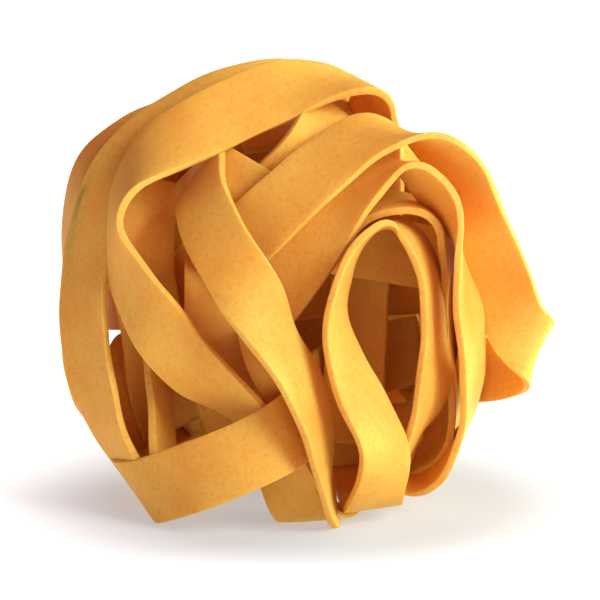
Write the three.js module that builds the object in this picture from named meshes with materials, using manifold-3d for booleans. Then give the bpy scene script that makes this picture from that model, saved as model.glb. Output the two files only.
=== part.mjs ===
// Dry pasta nest: one bundle of flat tagliatelle ribbons, dried as it was coiled.
// Millimetres, Z up, front towards -Y. The nest stands on its edge and leans back.
import * as THREE from 'three';
import { mergeVertices } from 'three/addons/utils/BufferGeometryUtils.js';
import Module from 'manifold-3d';

// Driving dimensions.
const ribbonThickness = 1.1;
const coilWidth = 9.2;
const leanBack = 12;
const stepAlong = 2.55;
const fineStep = 1;
const easePasses = 8;
const floorCut = 0.35;
const scrapVolume = 50;
const pastaColour = 0xe3a64a;

// The back of the nest is wound on shells nested in one egg shape.
const eggCentre = [-1.5, 33, 13];
const eggRadii = [31, 31, 24.5];
const coilStationCount = 15;
const coilTuck = 0.1;

// Each station of a ribbon reads: across, up, deep, then the direction of its
// width. They are laid out in the face of the nest, before it leans back. A run
// over the back, before the first station or after the last, reads: across, up
// and the size of its shell.

// Over the top, round the upper left corner and down across the front.
const overTheTop = {
  width: 9.3,
  stations: [
    [6.6, 12, 11.8, 8, 1, -3],
    [7.2, 24, 11.4, 8, 1, -3],
    [7.9, 36, 11.8, 8, 0, -4],
    [10.2, 48, 10.4, 7.4, 0, -5],
    [9.8, 55.5, 8.6, 7.4, 0.4, -5],
    [9.6, 59.8, 6.6, 6, 0.6, -6.6],
    [10, 63, 3.6, 1.8, 0, -8.8],
    [7.4, 64.2, 1.4, 0.2, -1.2, -9],
    [4, 64.4, 0, 1.4, -4.4, -7.8],
    [0, 63.8, -1.6, 2.8, -6.8, -5.2],
    [-5, 62.2, -3, 3.8, -8, -2],
    [-15, 57.4, -4.5, 3.8, -8, -2],
    [-21.5, 53.8, -5, 3.3, -6, -5.8],
    [-25.7, 49.4, -4.5, 2.4, -1.9, -8.4],
    [-27.4, 44, -4, 1.7, 0.2, -8.8],
    [-26.9, 40, -4.5, 2.9, 0.7, -8.5],
    [-24.4, 34.4, -6, 4.8, 3.7, -6.6],
    [-20.6, 28.4, -7.2, 5.9, 6, -3.6],
    [-17.5, 24.5, -7.2, 5.5, 5.8, -4.4],
    [-14.2, 21.5, -6.4, 5.2, 4.8, -5.8],
    [-10.8, 19.2, -5, 3.8, 3.6, -7.4],
    [-7.7, 16.6, -3.8, 2.6, 2.4, -8.4],
    [-5, 12.4, -2.6, 3.4, 3.4, -7.6],
    [-2.8, 7.6, -2, 5.6, 4.6, -5.2],
    [-1.4, 4.2, -1.4, 6.8, 3.4, -4.4],
    [0.2, 1.6, 0.6, 7.8, 1, -4],
    [2, 1.9, 4.6, 8, 0.4, -4],
    [4.8, 3.2, 9.5, 8, 1.2, -3],
  ],
};

// Low band at the front left, ending as the back wall of the hollow.
const lowBand = {
  width: 10,
  backBefore: [
    [-9, 14, 0.84],
    [-15.5, 13.4, 0.85],
  ],
  stations: [
    [-20.5, 13, 17.5, -5, 7.3, 1],
    [-24.6, 7.4, 11, -5.5, 7, -0.5],
    [-24.2, 5.4, 4, -5, 7.4, 0],
    [-21.3, 5.9, -1, -4.3, 7.9, 0.5],
    [-17, 7.4, -5, -3.4, 8.3, 0.5],
    [-11, 9.7, -8, -3.4, 8.3, 0.5],
    [-5, 12.5, -9, -3.4, 8.3, 0.2],
    [-1.4, 14.8, -7, -3.8, 8, 0],
    [0.4, 16.5, -2.5, -3.8, 8, 0],
    [1, 17.8, 4, -2.4, 8.6, 0],
    [1.3, 19, 10, -1.6, 8.8, 0],
    [2.2, 20.6, 14.8, -1.4, 8.8, 0],
    [5, 22.2, 17.6, -1.2, 8.9, 0],
    [9.4, 23.8, 18.2, -1, 9, 0],
    [14, 25.2, 17.6, -0.6, 9, 0],
    [16.8, 25.7, 16.6, 0, 9, 0],
  ],
};

// Outer winding on the left, from the floor to the top.
const leftOuter = {
  width: 9.2,
  stations: [
    [-8, 7.6, 16, 1, 4, -8],
    [-13, 6.2, 13, 1.6, 3, -8.3],
    [-18.5, 5.9, 9.5, 2.4, 1.2, -8.8],
    [-23.6, 7.2, 6, 3.6, -0.3, -8.3],
    [-27.4, 12, 3, 4.2, -0.5, -7.9],
    [-30, 19, 2, 5.5, 1.5, -7],
    [-31.6, 26, 2, 6.5, 0.5, -6.2],
    [-31.9, 33, 2, 6.2, 0, -6.5],
    [-31, 41, 2, 6.5, -0.7, -6.1],
    [-29, 47.8, 1.5, 6.5, -2, -5.9],
    [-25.5, 53.4, 1.8, 5.5, -4.5, -5.5],
    [-20.2, 57.4, 1.9, 4, -6.5, -4.7],
    [-14.2, 60.8, 2.2, 3.5, -7, -4.4],
    [-7.4, 63.4, 3.6, 3, -7, -4.8],
    [-0.5, 64.3, 6.6, 1, -5.4, -6.8],
    [5.8, 62.4, 10.4, -1.4, -5, -7],
    [10.6, 58.2, 15.2, -3.2, -5, -6.2],
  ],
  backAfter: [
    [17.4, 52.6, 0.965],
    [22, 45.5, 0.98],
    [23.2, 37, 0.99],
    [20.4, 28.6, 0.985],
    [15.4, 22.4, 0.965],
  ],
};

// Second winding on the left, behind the outer one.
const leftSecond = {
  width: 9.2,
  backBefore: [
    [6, 9.5, 0.93],
    [-2, 8.3, 0.96],
    [-12, 8.2, 0.99],
    [-21.5, 9.6, 1.03],
  ],
  stations: [
    [-30.4, 14.2, 15.2, 3, -3, -8],
    [-33, 20.5, 10.8, 2.4, -1, -8.6],
    [-34.2, 27, 9.6, 1.8, 0, -8.8],
    [-34.2, 34, 9, 1.6, 0, -9],
    [-34, 42, 8.6, 2, 0, -8.8],
    [-33, 48.8, 8, 2.4, -0.6, -8.7],
    [-30.6, 53, 7.4, 3.6, -3, -7.6],
    [-27, 55.4, 7.2, 4, -4, -7],
    [-22.6, 57, 7.5, 5, -5.5, -5],
    [-16, 59.4, 10, 4, -6.5, -4.7],
    [-8, 61.4, 16.5, 2, -6, -5],
    [-1.5, 60, 23, 0, -7, -4.6],
  ],
  backAfter: [
    [1.8, 57.6, 0.985],
    [4.8, 53.6, 1],
    [8.4, 46, 0.995],
    [10.4, 37.5, 0.99],
    [11, 29, 0.985],
    [10.4, 22.5, 0.975],
  ],
};

// Long diagonal at the front, turning edge-on at its foot.
const longDiagonal = {
  width: 9.3,
  stations: [
    [-13.6, 55.4, 2.6, 1.8, 0.3, -8.8],
    [-14.3, 52.4, -0.8, 2.2, 0.6, -8.4],
    [-15, 48.5, -5.2, 5.5, 1.5, -6.8],
    [-14.2, 44.5, -8.6, 7.4, 3.1, -4.2],
    [-11.9, 40, -11.5, 7.2, 4, -3],
    [-9, 35.5, -13, 7.3, 4, -1],
    [-6.2, 30.5, -13.5, 6, 3.3, 4.6],
    [-3.3, 25.5, -13.2, 4.9, 2.6, 6.8],
    [0, 20, -11.5, 4.7, 2.3, 7.2],
    [1.9, 15, -9, 3.7, 0.8, 8],
    [2.7, 10, -6.4, 2.2, 0, 8.7],
    [2.9, 7.2, -4.6, 1, 1.2, 8.7],
    [3.2, 5.2, -2.2, 0.4, 3, 8.2],
    [3.8, 4.6, 1.6, 0.2, 4.6, 7],
  ],
};

// Arch on the right, folded at the corner and carried round the back.
const rightArch = {
  width: 9.3,
  stations: [
    [-12.3, 38.2, -5.2, -5.6, 6.5, 2],
    [-7.3, 42.7, -7.5, -5.8, 6.3, 2.5],
    [-2.6, 47.3, -9.5, -6.1, 6, 3.2],
    [2.4, 51.7, -9.5, -5.8, 5.6, 4.2],
    [6.7, 55.1, -8.5, -5.2, 5.3, 5.2],
    [10.8, 57, -7, -3.4, 4.6, 7],
    [15.2, 56.2, -5.2, -2.2, 0.6, 8.6],
    [18.4, 54.4, -4.4, -3, -3.6, 7.6],
    [21.6, 51.8, -3.4, -4.8, -3.4, 7],
    [23.6, 47.6, -2, -6.2, -2.2, 6],
    [25.1, 42, -1.5, -7.4, -3, 4.1],
    [27.4, 37, -1, -7, -3.9, 4.3],
    [29, 32.4, -0.6, -7.5, -3.4, 3.8],
    [29.6, 29.7, -0.8, -7, -4.4, 4.2],
    [32, 26.8, 0.2, -4.4, -7.2, 0.6],
    [33.4, 25.3, 2.6, -4.2, -7.6, -3],
    [31.4, 24.3, 5.2, -0.8, -8.8, -1.2],
    [29.6, 23.6, 7, 2.4, -8.6, 0],
    [27.4, 23, 9.4, 2, -8.7, 0],
    [26.4, 22.7, 15, 1, -8.8, -0.6],
  ],
  backAfter: [
    [25.4, 22.2, 1.01],
    [20, 19.4, 1.02],
    [12, 18, 1.025],
    [3, 17.2, 1.015],
    [-7, 16.8, 1],
    [-16, 16.6, 0.99],
    [-24, 16.8, 0.96],
  ],
};

// Big loop round the hollow.
const bigLoop = {
  width: 9.2,
  stations: [
    [-17, 20, 5, -6, 6.8, 2],
    [-11, 26, 1.8, -6, 6.8, 2],
    [-4.5, 33.5, -2.6, -6.5, 6.3, 1.5],
    [1.3, 41.3, -5.6, -7.2, 4.4, 3.2],
    [5.8, 47.2, -6, -6, 3.5, 5.7],
    [10.6, 51.8, -5.7, -3.5, 3, 7.7],
    [14.2, 52.7, -5, -2.4, 0.4, 8.6],
    [16.8, 49.8, -4, -3.6, -2.4, 7.8],
    [19.5, 46.3, -3.2, -3, -2.2, 8.2],
    [21.5, 43, -3, -1, -1, 8.9],
    [21.8, 39, -3, 0.5, 0, 9],
    [22.6, 34.5, -3.2, 2.7, 0.5, 8.4],
    [23.4, 30, -3, 4, 1, 8],
    [23.9, 24.5, -2, 3, 0.7, 8.4],
    [23.6, 19, 0, 2.2, 0.5, 8.7],
    [22.7, 14.2, 2.6, 1, 1, 8.8],
    [20.2, 10, 5.6, -1.2, 2.6, 8.4],
    [17, 7.4, 9.2, -1, 3.4, 8.2],
    [13.8, 8.4, 12.8, -0.8, 1.6, 8.6],
  ],
};

// Teardrop loop inside the big loop.
const innerLoop = {
  width: 8.8,
  backBefore: [
    [-18, 50.5, 0.92],
    [-11.5, 47, 0.94],
    [-4.5, 41.6, 0.94],
    [0.8, 35, 0.935],
    [4, 27, 0.93],
    [6.2, 18.5, 0.92],
    [7.6, 11.4, 0.9],
  ],
  stations: [
    [8.4, 6, 12.5, 8.3, 1, 0],
    [9.2, 4.4, 7.5, 8.5, 0.5, 1],
    [9.5, 3.2, 2, 8, 1.2, 3],
    [9.9, 4.7, -2.3, 7.3, 0.3, 5],
    [11, 8, -5.2, 6.8, -0.3, 5.9],
    [10.8, 12.7, -8, 6.3, 1.5, 6.2],
    [8.5, 17.5, -9.5, 5.6, 2.8, 6.4],
    [6, 23, -10, 4.9, 2.2, 7.1],
    [4.5, 28, -9.5, 3.7, 0.8, 8],
    [4.5, 33, -8.5, 1.9, 0, 8.7],
    [5.7, 37.1, -7, 1.2, -0.1, 8.8],
    [8, 41.3, -4.6, 0.8, 0.8, 8.8],
    [11.4, 44.3, -2, 0.6, 1.8, 8.8],
    [14.6, 42.6, -1.8, 2, 1.8, 8.4],
    [17, 38.6, -1.6, 3.2, 0.8, 8.3],
    [18.2, 34, -1.8, 2.8, 0, 8.5],
    [18.3, 28, -2.2, 3.2, 0, 8.2],
    [18.2, 23, -2.4, 4.2, 0.2, 7.8],
    [17.8, 18.6, -2, 4.6, 1, 7.4],
    [15.9, 14.4, -0.6, 2.6, 2, 8.4],
    [14.5, 10.8, 2.8, 1.3, 1, 8.9],
    [13.8, 9.4, 7.6, 1.6, 1.6, 8.6],
  ],
};

// Band behind the arch, from the top down to the left.
const behindArch = {
  width: 9.4,
  stations: [
    [4.6, 60.2, 3, 6, -3.4, 3],
    [2.2, 56.6, -2.6, 6, -4, 4.4],
    [0, 52.8, -3.6, 6, -4.4, 4],
    [-3.4, 49.2, -2.6, 6.4, -5, 2.5],
    [-9.5, 43.5, 2, 6.5, -6, 2],
    [-15, 37, 7.5, 6.5, -6, 2],
    [-19, 30, 12, 6.5, -6, 2],
  ],
};

// Band behind the diagonal, right across the top of the hollow.
const acrossHollow = {
  width: 9.2,
  stations: [
    [-13.7, 51, -2.4, 3.6, 8, 0.5],
    [-11.4, 49.7, -3.6, 3.6, 8, 0.5],
    [-8, 47.6, -4.9, 3.6, 8, 0.5],
    [-4, 45.2, -4.8, 3.6, 8, 0.5],
    [0.3, 42.8, 0.2, 3.4, 8.2, 0.5],
    [4.2, 41, 5.6, 2, 8.6, 0.5],
    [10, 40.3, 8.4, 0.8, 9, 0.5],
    [16, 39.3, 9, 0.8, 9, 0.5],
    [23, 38, 10.5, 1, 9, 0.5],
  ],
};

// Inner band on the left.
const innerLeft = {
  width: 9.2,
  stations: [
    [-19.5, 14, 11.5, 6.4, 1.5, 3],
    [-21.5, 21, 8.6, 6.6, 1.2, 2.4],
    [-22, 28, 6.2, 6.8, 0.8, 1.6],
    [-23.4, 36, 4.6, 7, 0, 1.4],
    [-23.4, 44, 4.4, 7, -0.5, 1.6],
    [-22.4, 50.5, 5.6, 6.6, -1.6, 2.6],
  ],
};

// Upright band with a folded end, behind the diagonal.
const uprightFold = {
  width: 9.2,
  stations: [
    [-8.6, 9.5, 13, 8, 2, -1],
    [-10.2, 15.5, 8, 8.5, 1.5, -1],
    [-12, 22, 0.4, 9, 0.6, -1],
    [-12.7, 30, -2.8, 9, 0, 0],
    [-12.7, 35.5, -2.9, 9, 0, 0],
    [-12.7, 38, -1.2, 9, 0, 0],
    [-12.5, 38.6, 2.3, 9, 0, 0],
  ],
};

// Second arch, just inside the big loop.
const secondArch = {
  width: 9,
  stations: [
    [5, 43.2, 1.2, -3, 2.6, 7.6],
    [7.2, 45.2, 0.6, -1.6, 2.6, 8.2],
    [10.3, 46.4, 0.2, -0.3, 2.7, 8.6],
    [14.6, 46.8, 0, 0.3, 2.4, 8.7],
    [18.7, 45.2, 0.6, 2, 1, 8.8],
    [20.6, 40, 3.2, 2.2, 0, 8.7],
    [20.8, 33, 5.4, 2, 0, 8.8],
    [20.9, 25, 6.2, 2, 0.4, 8.8],
    [21.3, 17.6, 7, 1, 1, 8.8],
    [20.2, 12.8, 8.8, -1.4, 3, 8.2],
    [16.2, 10.4, 12.4, -0.9, 4, 7.8],
  ],
};

// Short upright low on the left.
const lowUpright = {
  width: 8.8,
  stations: [
    [-21.4, 23.4, 5.4, 2.6, 0, 8.4],
    [-20.8, 17.5, 3.4, 2.6, 0, 8.4],
    [-20.4, 11, 2.4, 2.8, 0.5, 8.3],
    [-19.8, 7.4, 4, 3.4, 1.4, 8],
  ],
};

// Band behind the outer winding, low on the left.
const leftBehind = {
  width: 8.8,
  stations: [
    [-23.6, 11.5, 11, 8.4, 1.5, 3],
    [-24.6, 15, 9.6, 8.4, 0.8, 3.2],
    [-25.2, 19.5, 9.2, 8.4, 0.4, 3.4],
    [-25, 23.6, 10.4, 8.2, -1.4, 3.6],
    [-23.4, 25.8, 14.6, 8.2, -1.6, 3.6],
    [-22.2, 26, 16.8, 8, -1.2, 4.4],
  ],
};

// Across the back of the hollow, higher up.
const hollowBack = {
  width: 9.2,
  stations: [
    [-18.5, 30.6, 11.6, -1.4, 8.8, 0],
    [-12, 32.6, 15.6, -1, 9, 0],
    [-5, 34, 19, -0.4, 9, 0],
    [1, 34.8, 20.6, 0, 9, 0],
    [8, 35.2, 20.8, 0, 9, 0],
    [14, 35.2, 19.4, 0, 9, 0],
    [19.4, 35.6, 15.6, 0.4, 9, 0],
    [23.2, 36.8, 10.6, 0.6, 9, 0],
  ],
};

// A narrow scrap caught behind the diagonal.
const crumple = {
  width: 4.6,
  stations: [
    [-7.6, 29.4, -4.6, 3.4, 1.4, 1],
    [-7.2, 26.6, -5.4, 3.6, 1, -0.6],
    [-6.2, 23.4, -6.2, 3.8, 1, 0.4],
    [-4.6, 20.6, -5.2, 3.6, 2, -0.6],
    [-2.8, 18.6, -3.4, 3.4, 2.4, 0.6],
  ],
};

// Low across the back of the hollow.
const hollowFloor = {
  width: 9.2,
  stations: [
    [3, 13.2, 18.4, 0, 9, -1],
    [9.6, 13.4, 18.6, 0, 9, -1],
    [14.6, 13, 17.4, -0.6, 9, 0],
    [19.4, 14.8, 14.6, -1, 9, 0.4],
    [21.4, 15.2, 13.2, -1, 9, 0.6],
  ],
};

// Upright on the right, between the big loop and the back.
const rightBehind = {
  width: 8.8,
  stations: [
    [20, 54, 10, 4, 4, 7],
    [23, 48.5, 6.6, 4.4, 2.2, 7.4],
    [24, 42, 5.6, 4.4, 0.6, 7.8],
    [24.2, 34, 6.4, 3.4, 0, 8.2],
    [23.8, 26, 8.6, 3, 0, 8.3],
    [22.9, 19.4, 11.4, 2.8, -0.6, 8.3],
    [22, 14.8, 12.8, 2.4, -0.8, 8.4],
  ],
};

// Back coils: shell, bearing of the coil seen from the front, offset from the middle,
// sideways wander and its phase, start and end, in degrees.
const backCoils = [
  { shell: 0.885, bearing: 12, offset: 0.24, wander: 0.05, phase: 80, from: -12, to: 186 },
  { shell: 0.885, bearing: 12, offset: -0.26, wander: 0.05, phase: 80, from: -10, to: 198 },
  { shell: 0.885, bearing: 12, offset: -0.72, wander: 0.04, phase: 80, from: 4, to: 178 },
  { shell: 0.84, bearing: 70, offset: -0.46, wander: 0.06, phase: 200, from: -22, to: 176 },
  { shell: 0.84, bearing: 66, offset: 0.12, wander: 0.07, phase: 40, from: -10, to: 180 },
  { shell: 0.795, bearing: 122, offset: 0.45, wander: 0.06, phase: 20, from: 0, to: 170 },
  { shell: 0.795, bearing: 122, offset: -0.25, wander: 0.08, phase: 20, from: -4, to: 158 },
  { shell: 0.75, bearing: 152, offset: 0.05, wander: 0.1, phase: 40, from: -6, to: 186 },
  { shell: 0.705, bearing: 40, offset: -0.25, wander: 0.08, phase: 10, from: 0, to: 180 },
  { shell: 0.66, bearing: 95, offset: 0.2, wander: 0.08, phase: 10, from: 4, to: 150 },
];

const radians = Math.PI / 180;
const lerp = (a, b, t) => a.map((value, k) => value + (b[k] - value) * t);
const spot = (row) => new THREE.Vector3(row[0], row[1], row[2]);
const span = (a, b) => spot(a).distanceTo(spot(b));
const centreOfEgg = new THREE.Vector3(...eggCentre);
const radiiOfEgg = new THREE.Vector3(...eggRadii);

// A point on the back of a shell, from its place across and up.
function onShell([across, up, shell]) {
  const x = (across - centreOfEgg.x) / radiiOfEgg.x;
  const y = (up - centreOfEgg.y) / radiiOfEgg.y;
  const deep = Math.sqrt(shell * shell - x * x - y * y);
  return new THREE.Vector3(across, up, centreOfEgg.z + radiiOfEgg.z * deep);
}

// Adds a run over the back to the end of some stations. Its width lies in the
// shell, square to the run, on the side where the last station has it.
function carriedOn(stations, rows) {
  const last = stations[stations.length - 1];
  const points = [spot(last), ...rows.map(onShell)];
  let side = spot(last.slice(3));
  const added = points.slice(1).map((point, k) => {
    const next = points[Math.min(k + 2, points.length - 1)];
    const ahead = next.clone().sub(points[k]);
    const out = point.clone().sub(centreOfEgg).divide(radiiOfEgg).divide(radiiOfEgg);
    const width = new THREE.Vector3().crossVectors(out, ahead).normalize();
    width.multiplyScalar(Math.sign(width.dot(side)));
    side = width;
    return [...point.toArray(), ...width.toArray()];
  });
  return [...stations, ...added];
}

// All stations of a winding, with its runs over the back.
function allStations(winding) {
  let rows = winding.stations;
  if (winding.backAfter) {
    rows = carriedOn(rows, winding.backAfter);
  }
  if (winding.backBefore) {
    rows = carriedOn([...rows].reverse(), [...winding.backBefore].reverse()).reverse();
  }
  return rows;
}

// One point of a coil on its shell: a circle cut from the egg, wandering sideways.
function coilPoint(coil, angle) {
  const bearing = coil.bearing * radians;
  const along = new THREE.Vector3(Math.cos(bearing), Math.sin(bearing), 0);
  const deep = new THREE.Vector3(0, 0, 1);
  const side = new THREE.Vector3().crossVectors(along, deep);
  const height = coil.offset + coil.wander * Math.sin(2 * angle + coil.phase * radians);
  const reach = Math.sqrt(1 - height * height);
  return side.multiplyScalar(height)
    .addScaledVector(along, reach * Math.cos(angle))
    .addScaledVector(deep, reach * Math.sin(angle));
}

// Stations of a coil; both ends tuck in towards the middle of the nest.
function coilStations(coil) {
  const rows = [];
  for (let i = 0; i < coilStationCount; i += 1) {
    const share = i / (coilStationCount - 1);
    const angle = (coil.from + (coil.to - coil.from) * share) * radians;
    const unit = coilPoint(coil, angle);
    const ahead = coilPoint(coil, angle + 0.01).sub(coilPoint(coil, angle - 0.01)).multiply(radiiOfEgg);
    const out = unit.clone().divide(radiiOfEgg);
    const width = new THREE.Vector3().crossVectors(out, ahead).normalize();
    const tuck = 1 - coilTuck * Math.abs(2 * share - 1) ** 12;
    const centre = unit.multiply(radiiOfEgg).multiplyScalar(coil.shell * tuck).add(centreOfEgg);
    rows.push([...centre.toArray(), ...width.toArray()]);
  }
  return rows;
}

// Centripetal Catmull-Rom curve through the stations.
function curveThrough(stations) {
  const rows = stations.map((row) => {
    const width = new THREE.Vector3(row[3], row[4], row[5]).normalize();
    return [row[0], row[1], row[2], ...width.toArray()];
  });
  const first = lerp(rows[1], rows[0], 2);
  const last = lerp(rows[rows.length - 2], rows[rows.length - 1], 2);
  const p = [first, ...rows, last];
  const pieces = 16;
  const path = [];
  for (let i = 1; i < p.length - 2; i += 1) {
    const t1 = Math.sqrt(span(p[i - 1], p[i]));
    const t2 = t1 + Math.sqrt(span(p[i], p[i + 1]));
    const t3 = t2 + Math.sqrt(span(p[i + 1], p[i + 2]));
    for (let j = 0; j < pieces; j += 1) {
      const t = t1 + ((t2 - t1) * j) / pieces;
      const a1 = lerp(p[i - 1], p[i], t / t1);
      const a2 = lerp(p[i], p[i + 1], (t - t1) / (t2 - t1));
      const a3 = lerp(p[i + 1], p[i + 2], (t - t2) / (t3 - t2));
      const b1 = lerp(a1, a2, t / t2);
      const b2 = lerp(a2, a3, (t - t1) / (t3 - t1));
      path.push(lerp(b1, b2, (t - t1) / (t2 - t1)));
    }
  }
  path.push(rows[rows.length - 1]);
  return path;
}

// The same path with its points an even step apart.
function evenly(path, step) {
  const reach = [0];
  for (let i = 1; i < path.length; i += 1) {
    reach.push(reach[i - 1] + span(path[i - 1], path[i]));
  }
  const total = reach[reach.length - 1];
  const count = Math.max(4, Math.round(total / step));
  const even = [];
  let k = 1;
  for (let i = 0; i <= count; i += 1) {
    const goal = (total * i) / count;
    while (k < path.length - 1 && reach[k] < goal) {
      k += 1;
    }
    even.push(lerp(path[k - 1], path[k], (goal - reach[k - 1]) / (reach[k] - reach[k - 1])));
  }
  return even;
}

// Rounds off the corners that are left between the stations.
function eased(path) {
  let now = path;
  for (let pass = 0; pass < easePasses; pass += 1) {
    now = now.map((row, i) => {
      if (i === 0 || i === now.length - 1) {
        return row;
      }
      return row.map((value, k) => (now[i - 1][k] + 2 * value + now[i + 1][k]) / 4);
    });
  }
  return now;
}

// Leans a point of the face back about the floor line.
function leaned(point) {
  const lean = leanBack * radians;
  return new THREE.Vector3(
    point.x,
    point.y * Math.sin(lean) + point.z * Math.cos(lean),
    point.y * Math.cos(lean) - point.z * Math.sin(lean),
  );
}

// A closed ribbon of rectangular section swept along its stations.
function ribbonGeometry(stations, width) {
  const path = evenly(eased(evenly(curveThrough(stations), fineStep)), stepAlong);
  const corners = [];
  path.forEach((row, i) => {
    const before = spot(path[Math.max(0, i - 1)]);
    const after = spot(path[Math.min(path.length - 1, i + 1)]);
    const along = after.sub(before).normalize();
    const across = new THREE.Vector3(row[3], row[4], row[5]);
    across.addScaledVector(along, -across.dot(along)).normalize();
    const face = new THREE.Vector3().crossVectors(along, across);
    for (const [side, skin] of [[-1, -1], [1, -1], [1, 1], [-1, 1]]) {
      const corner = spot(row)
        .addScaledVector(across, (side * width) / 2)
        .addScaledVector(face, (skin * ribbonThickness) / 2);
      corners.push(leaned(corner));
    }
  });
  const index = [];
  for (let i = 0; i < path.length - 1; i += 1) {
    for (let k = 0; k < 4; k += 1) {
      const a = 4 * i + k;
      const b = 4 * i + ((k + 1) % 4);
      index.push(a, b + 4, b, a, a + 4, b + 4);
    }
  }
  const end = 4 * (path.length - 1);
  index.push(0, 1, 2, 0, 2, 3, end, end + 2, end + 1, end, end + 3, end + 2);
  const geometry = new THREE.BufferGeometry();
  const flat = corners.flatMap((corner) => corner.toArray());
  geometry.setAttribute('position', new THREE.Float32BufferAttribute(flat, 3));
  geometry.setIndex(index);
  return geometry;
}

const wasm = await Module();
wasm.setup();

function toSolid(geometry) {
  return new wasm.Manifold(new wasm.Mesh({
    numProp: 3,
    vertProperties: geometry.getAttribute('position').array,
    triVerts: new Uint32Array(geometry.getIndex().array),
  }));
}

function toGeometry(solid) {
  const mesh = solid.getMesh();
  const geometry = new THREE.BufferGeometry();
  geometry.setAttribute('position', new THREE.BufferAttribute(mesh.vertProperties, 3));
  geometry.setIndex(new THREE.BufferAttribute(mesh.triVerts, 1));
  return geometry;
}

// Keeps the closed shells that hold a real amount of pasta. Sealed hollows turn
// their faces inwards, so their volume is negative and they drop out as filled.
function solidShells(geometry) {
  const index = geometry.getIndex().array;
  const at = geometry.getAttribute('position').array;
  const parent = Array.from({ length: at.length / 3 }, (_, k) => k);
  const root = (k) => {
    let top = k;
    while (parent[top] !== top) {
      parent[top] = parent[parent[top]];
      top = parent[top];
    }
    return top;
  };
  for (let t = 0; t < index.length; t += 3) {
    parent[root(index[t + 1])] = root(index[t]);
    parent[root(index[t + 2])] = root(index[t]);
  }
  const volumes = new Map();
  for (let t = 0; t < index.length; t += 3) {
    const [a, b, c] = [0, 1, 2].map((k) => new THREE.Vector3().fromArray(at, 3 * index[t + k]));
    const shell = root(index[t]);
    volumes.set(shell, (volumes.get(shell) || 0) + a.dot(b.cross(c)) / 6);
  }
  const kept = [];
  for (let t = 0; t < index.length; t += 3) {
    if (volumes.get(root(index[t])) > scrapVolume) {
      kept.push(index[t], index[t + 1], index[t + 2]);
    }
  }
  geometry.setIndex(kept);
  return geometry;
}

// Every ribbon joined into one body, with a small flat spot to stand on.
function nestGeometry() {
  const strands = [
    overTheTop, lowBand, leftOuter, leftSecond, longDiagonal, rightArch, bigLoop,
    innerLoop, behindArch, acrossHollow, innerLeft, uprightFold, secondArch, lowUpright,
    leftBehind, rightBehind, hollowFloor, hollowBack, crumple,
  ];
  const coils = backCoils.map((coil) => ({ width: coilWidth, stations: coilStations(coil) }));
  let nest = null;
  const wound = strands.map((strand) => ({ width: strand.width, stations: allStations(strand) }));
  for (const strand of [...wound, ...coils]) {
    const solid = toSolid(ribbonGeometry(strand.stations, strand.width));
    nest = nest ? nest.add(solid) : solid;
  }
  const slab = new THREE.BoxGeometry(120, 120, 20);
  slab.deleteAttribute('normal');
  slab.deleteAttribute('uv');
  slab.translate(0, 20, floorCut - 10);
  nest = nest.subtract(toSolid(mergeVertices(slab)));
  return solidShells(toGeometry(nest));
}

const nestShape = nestGeometry();
nestShape.computeBoundingBox();
const box = nestShape.boundingBox;
const middle = box.getCenter(new THREE.Vector3());
nestShape.translate(-middle.x, -middle.y, -box.min.z);

const nest = new THREE.Mesh(
  nestShape,
  new THREE.MeshStandardMaterial({ color: pastaColour, roughness: 0.6 }),
);
nest.name = 'nest';

const part = new THREE.Group();
part.name = 'dry_pasta_nest';
part.add(nest);

export default part;
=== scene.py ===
import math

import bpy
import numpy as np
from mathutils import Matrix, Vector


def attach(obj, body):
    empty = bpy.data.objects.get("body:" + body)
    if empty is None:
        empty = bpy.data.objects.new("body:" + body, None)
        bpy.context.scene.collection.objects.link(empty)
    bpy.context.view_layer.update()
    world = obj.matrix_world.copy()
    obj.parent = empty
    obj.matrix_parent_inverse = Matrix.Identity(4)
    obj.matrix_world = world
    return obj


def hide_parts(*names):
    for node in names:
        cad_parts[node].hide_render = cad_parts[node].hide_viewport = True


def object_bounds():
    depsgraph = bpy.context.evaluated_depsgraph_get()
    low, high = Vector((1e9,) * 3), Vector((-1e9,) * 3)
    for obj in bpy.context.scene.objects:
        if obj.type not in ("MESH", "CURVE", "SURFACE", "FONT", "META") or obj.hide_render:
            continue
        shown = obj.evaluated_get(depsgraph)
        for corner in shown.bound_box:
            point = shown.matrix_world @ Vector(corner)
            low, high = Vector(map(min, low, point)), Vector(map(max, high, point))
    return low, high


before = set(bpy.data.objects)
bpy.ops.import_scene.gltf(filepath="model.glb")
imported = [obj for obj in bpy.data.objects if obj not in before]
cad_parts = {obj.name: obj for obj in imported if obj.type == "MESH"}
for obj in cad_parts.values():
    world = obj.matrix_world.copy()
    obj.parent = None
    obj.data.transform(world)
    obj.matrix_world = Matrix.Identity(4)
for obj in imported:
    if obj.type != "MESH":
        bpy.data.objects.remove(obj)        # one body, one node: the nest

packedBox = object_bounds()
print("frame loaded, nest", [round(float(s), 4) for s in packedBox[1] - packedBox[0]], "m")

# Sizes below are millimetres, laid out in the face of the nest: across, up and deep.
# The nest leans back when it stands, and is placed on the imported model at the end.
millimetre = 0.001
stance = {"leanBack": 12.0, "flatSpot": 0.35}      # degrees, and how much of its foot is pressed flat

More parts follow.
